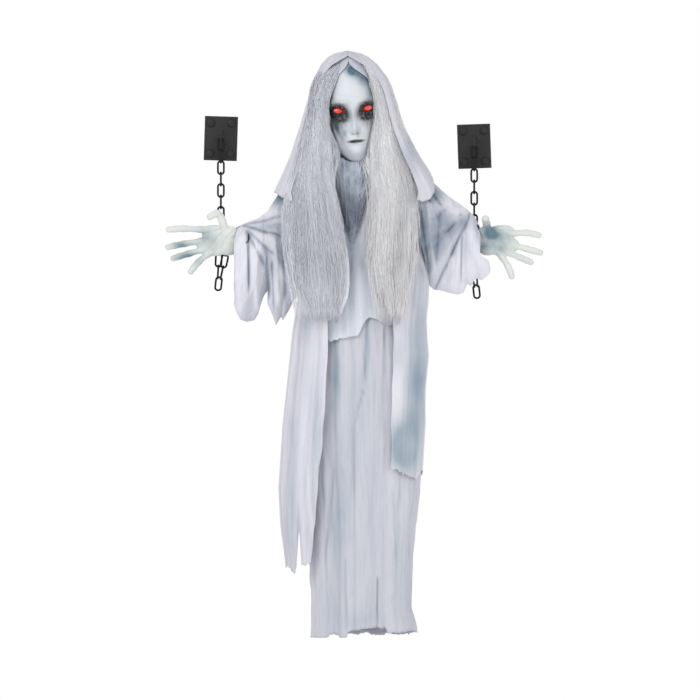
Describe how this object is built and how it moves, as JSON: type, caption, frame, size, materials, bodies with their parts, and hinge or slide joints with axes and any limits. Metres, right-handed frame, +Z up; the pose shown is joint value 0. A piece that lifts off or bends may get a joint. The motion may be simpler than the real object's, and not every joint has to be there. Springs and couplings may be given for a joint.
{
  "type": "animated hanging ghost figure",
  "caption": "Hanging ghost in a layered robe, with long hair, a hood, a motorised head with lit eyes, and wrists chained to wall plates.",
  "frame": {"origin": "where a nail bears under the top of the hanging loop, behind the neck", "axes": "+Z up along the figure, -Y out of the wall the way the face looks, +X to the right in the picture"},
  "size_m": [0.9815, 0.2407, 1.524],
  "materials": {
    "cell_jacket": "plain jacket",
    "moulded_shell": "matt black moulding",
    "circuit_board": "solder resist",
    "cowl_cloth": "frayed gauze",
    "gear_nylon": "natural nylon",
    "mask_vinyl": "airbrushed vinyl",
    "motor_can": "zinc plated",
    "gown_cloth": "thin creased cloth",
    "steel_wire": "bright drawn wire",
    "hood_cloth": "thin gauze",
    "coat_cloth": "thin creased cloth",
    "eye_lens": "clear red, polished",
    "hair": "fine synthetic fibre",
    "hand_vinyl": "airbrushed vinyl",
    "led": "red diffused",
    "chain": "black moulded plastic",
    "sleeve_cloth": "thin creased cloth",
    "plate_plastic": "dark moulded plastic",
    "speaker": "paper cone and frame",
    "control_plastic": "red moulding",
    "tunic_cloth": "thin crumpled cloth"
  },
  "bodies": {
    "root": {"battery_1": "cell_jacket", "battery_2": "cell_jacket", "battery_3": "cell_jacket", "circuit_board": "circuit_board", "cowl": "cowl_cloth", "gearmotor": "motor_can", "gown": "gown_cloth", "hanging_loop": "steel_wire", "housing_back": "moulded_shell", "housing_front": "moulded_shell", "left_coat_panel": "coat_cloth", "left_shoulder_pin": "steel_wire", "left_wall_plate": "plate_plastic", "neck_bearing": "gear_nylon", "right_coat_panel": "coat_cloth", "right_shoulder_pin": "steel_wire", "right_wall_plate": "plate_plastic", "speaker": "speaker", "tunic": "tunic_cloth"},
    "head": {"neck_gear": "gear_nylon", "neck_shaft": "steel_wire", "face_mask": "mask_vinyl", "skull_shell": "moulded_shell", "left_eye_lens": "eye_lens", "right_eye_lens": "eye_lens", "left_led": "led", "right_led": "led", "wig_cap": "hair", "left_hair_lock": "hair", "right_hair_lock": "hair", "hood": "hood_cloth"},
    "pinion": {"drive_pinion": "gear_nylon"},
    "door": {"battery_door": "moulded_shell"},
    "switch": {"switch_slider": "control_plastic"},
    "button": {"try_button": "control_plastic"},
    "left_arm": {"left_arm_rod": "steel_wire", "left_wrist_chain": "chain", "left_sleeve": "sleeve_cloth"},
    "left_palm": {"left_hand": "hand_vinyl"},
    "left_link_1": {"left_link_1": "chain"},
    "left_link_2": {"left_link_2": "chain"},
    "left_link_3": {"left_link_3": "chain"},
    "left_link_4": {"left_link_4": "chain"},
    "left_link_5": {"left_link_5": "chain"},
    "left_link_6": {"left_link_6": "chain"},
    "left_link_7": {"left_link_7": "chain"},
    "left_slack": {"left_slack_chain": "chain"},
    "right_arm": {"right_arm_rod": "steel_wire", "right_wrist_chain": "chain", "right_sleeve": "sleeve_cloth"},
    "right_palm": {"right_hand": "hand_vinyl"},
    "right_link_1": {"right_link_1": "chain"},
    "right_link_2": {"right_link_2": "chain"},
    "right_link_3": {"right_link_3": "chain"},
    "right_link_4": {"right_link_4": "chain"},
    "right_link_5": {"right_link_5": "chain"},
    "right_link_6": {"right_link_6": "chain"},
    "right_link_7": {"right_link_7": "chain"},
    "right_slack": {"right_slack_chain": "chain"}
  },
  "joints": [
    {"name": "head_turn", "type": "hinge", "parent": "root", "child": "head", "pos_m": [0, -0.065, -0.045], "axis": [0, 0, 1], "range_deg": [-30, 30], "deforming": ["hood", "left_hair_lock", "right_hair_lock"]},
    {"name": "pinion_spin", "type": "hinge", "parent": "root", "child": "pinion", "pos_m": [0.02575, -0.065, -0.055], "axis": [0, 0, 1], "range_deg": [-75, 75]},
    {"name": "left_shoulder_swing", "type": "hinge", "parent": "root", "child": "left_arm", "pos_m": [-0.122, -0.0665, -0.078], "axis": [0, 1, 0], "range_deg": [-5, 15], "deforming": ["left_sleeve"]},
    {"name": "left_wrist_turn", "type": "hinge", "parent": "left_arm", "child": "left_palm", "pos_m": [-0.306, -0.0665, -0.188], "axis": [1, 0, 0], "range_deg": [-30, 30]},
    {"name": "right_shoulder_swing", "type": "hinge", "parent": "root", "child": "right_arm", "pos_m": [0.122, -0.0665, -0.078], "axis": [0, -1, 0], "range_deg": [-5, 15], "deforming": ["right_sleeve"]},
    {"name": "right_wrist_turn", "type": "hinge", "parent": "right_arm", "child": "right_palm", "pos_m": [0.306, -0.0665, -0.188], "axis": [1, 0, 0], "range_deg": [-30, 30]},
    {"name": "door_swing", "type": "hinge", "parent": "root", "child": "door", "pos_m": [-0.02675, -0.01425, -0.144], "axis": [0, 0, 1], "range_deg": [0, 95]},
    {"name": "switch_slide", "type": "slide", "parent": "root", "child": "switch", "axis": [0, 0, 1], "range_m": [0, 0.004]},
    {"name": "button_slide", "type": "slide", "parent": "root", "child": "button", "axis": [0, -1, 0], "range_m": [0, 0.0025], "stiffness_N_per_m": 400},
    {"name": "left_link_1_swing", "type": "hinge", "parent": "root", "child": "left_link_1", "pos_m": [-0.3554, 0.0103, 0.0725], "axis": [0, 1, 0], "range_deg": [-8, 8]},
    {"name": "left_link_2_swing", "type": "hinge", "parent": "left_link_1", "child": "left_link_2", "pos_m": [-0.3554, 0.0103, 0.04716], "axis": [0, 1, 0], "range_deg": [-8, 8]},
    {"name": "left_link_3_swing", "type": "hinge", "parent": "left_link_2", "child": "left_link_3", "pos_m": [-0.3554, 0.0103, 0.01416], "axis": [0, 1, 0], "range_deg": [-8, 8]},
    {"name": "left_link_4_swing", "type": "hinge", "parent": "left_link_3", "child": "left_link_4", "pos_m": [-0.3554, 0.0103, -0.01216], "axis": [0, 1, 0], "range_deg": [-8, 8]},
    {"name": "left_link_5_swing", "type": "hinge", "parent": "left_link_4", "child": "left_link_5", "pos_m": [-0.3554, 0.0103, -0.04516], "axis": [0, 1, 0], "range_deg": [-8, 8]},
    {"name": "left_link_6_swing", "type": "hinge", "parent": "left_link_5", "child": "left_link_6", "pos_m": [-0.3554, 0.0103, -0.07148], "axis": [0, 1, 0], "range_deg": [-8, 8]},
    {"name": "left_link_7_swing", "type": "hinge", "parent": "left_link_6", "child": "left_link_7", "pos_m": [-0.3554, 0.0103, -0.10448], "axis": [0, 1, 0], "range_deg": [-8, 8]},
    {"name": "left_slack_swing", "type": "hinge", "parent": "left_link_7", "child": "left_slack", "pos_m": [-0.3554, 0.0103, -0.1308], "axis": [0, 1, 0], "range_deg": [-8, 8]},
    {"name": "right_link_1_swing", "type": "hinge", "parent": "root", "child": "right_link_1", "pos_m": [0.3012, 0.0103, 0.0522], "axis": [0, 1, 0], "range_deg": [-8, 8]},
    {"name": "right_link_2_swing", "type": "hinge", "parent": "right_link_1", "child": "right_link_2", "pos_m": [0.3012, 0.0103, 0.02686], "axis": [0, 1, 0], "range_deg": [-8, 8]},
    {"name": "right_link_3_swing", "type": "hinge", "parent": "right_link_2", "child": "right_link_3", "pos_m": [0.3012, 0.0103, -0.00614], "axis": [0, 1, 0], "range_deg": [-8, 8]},
    {"name": "right_link_4_swing", "type": "hinge", "parent": "right_link_3", "child": "right_link_4", "pos_m": [0.3012, 0.0103, -0.03246], "axis": [0, 1, 0], "range_deg": [-8, 8]},
    {"name": "right_link_5_swing", "type": "hinge", "parent": "right_link_4", "child": "right_link_5", "pos_m": [0.3012, 0.0103, -0.06546], "axis": [0, 1, 0], "range_deg": [-8, 8]},
    {"name": "right_link_6_swing", "type": "hinge", "parent": "right_link_5", "child": "right_link_6", "pos_m": [0.3012, 0.0103, -0.09178], "axis": [0, 1, 0], "range_deg": [-8, 8]},
    {"name": "right_link_7_swing", "type": "hinge", "parent": "right_link_6", "child": "right_link_7", "pos_m": [0.3012, 0.0103, -0.12478], "axis": [0, 1, 0], "range_deg": [-8, 8]},
    {"name": "right_slack_swing", "type": "hinge", "parent": "right_link_7", "child": "right_slack", "pos_m": [0.3012, 0.0103, -0.1511], "axis": [0, 1, 0], "range_deg": [-8, 8]}
  ],
  "couplings": [
    {"joint": "pinion_spin", "follows": "head_turn", "ratio": -2.4}
  ]
}
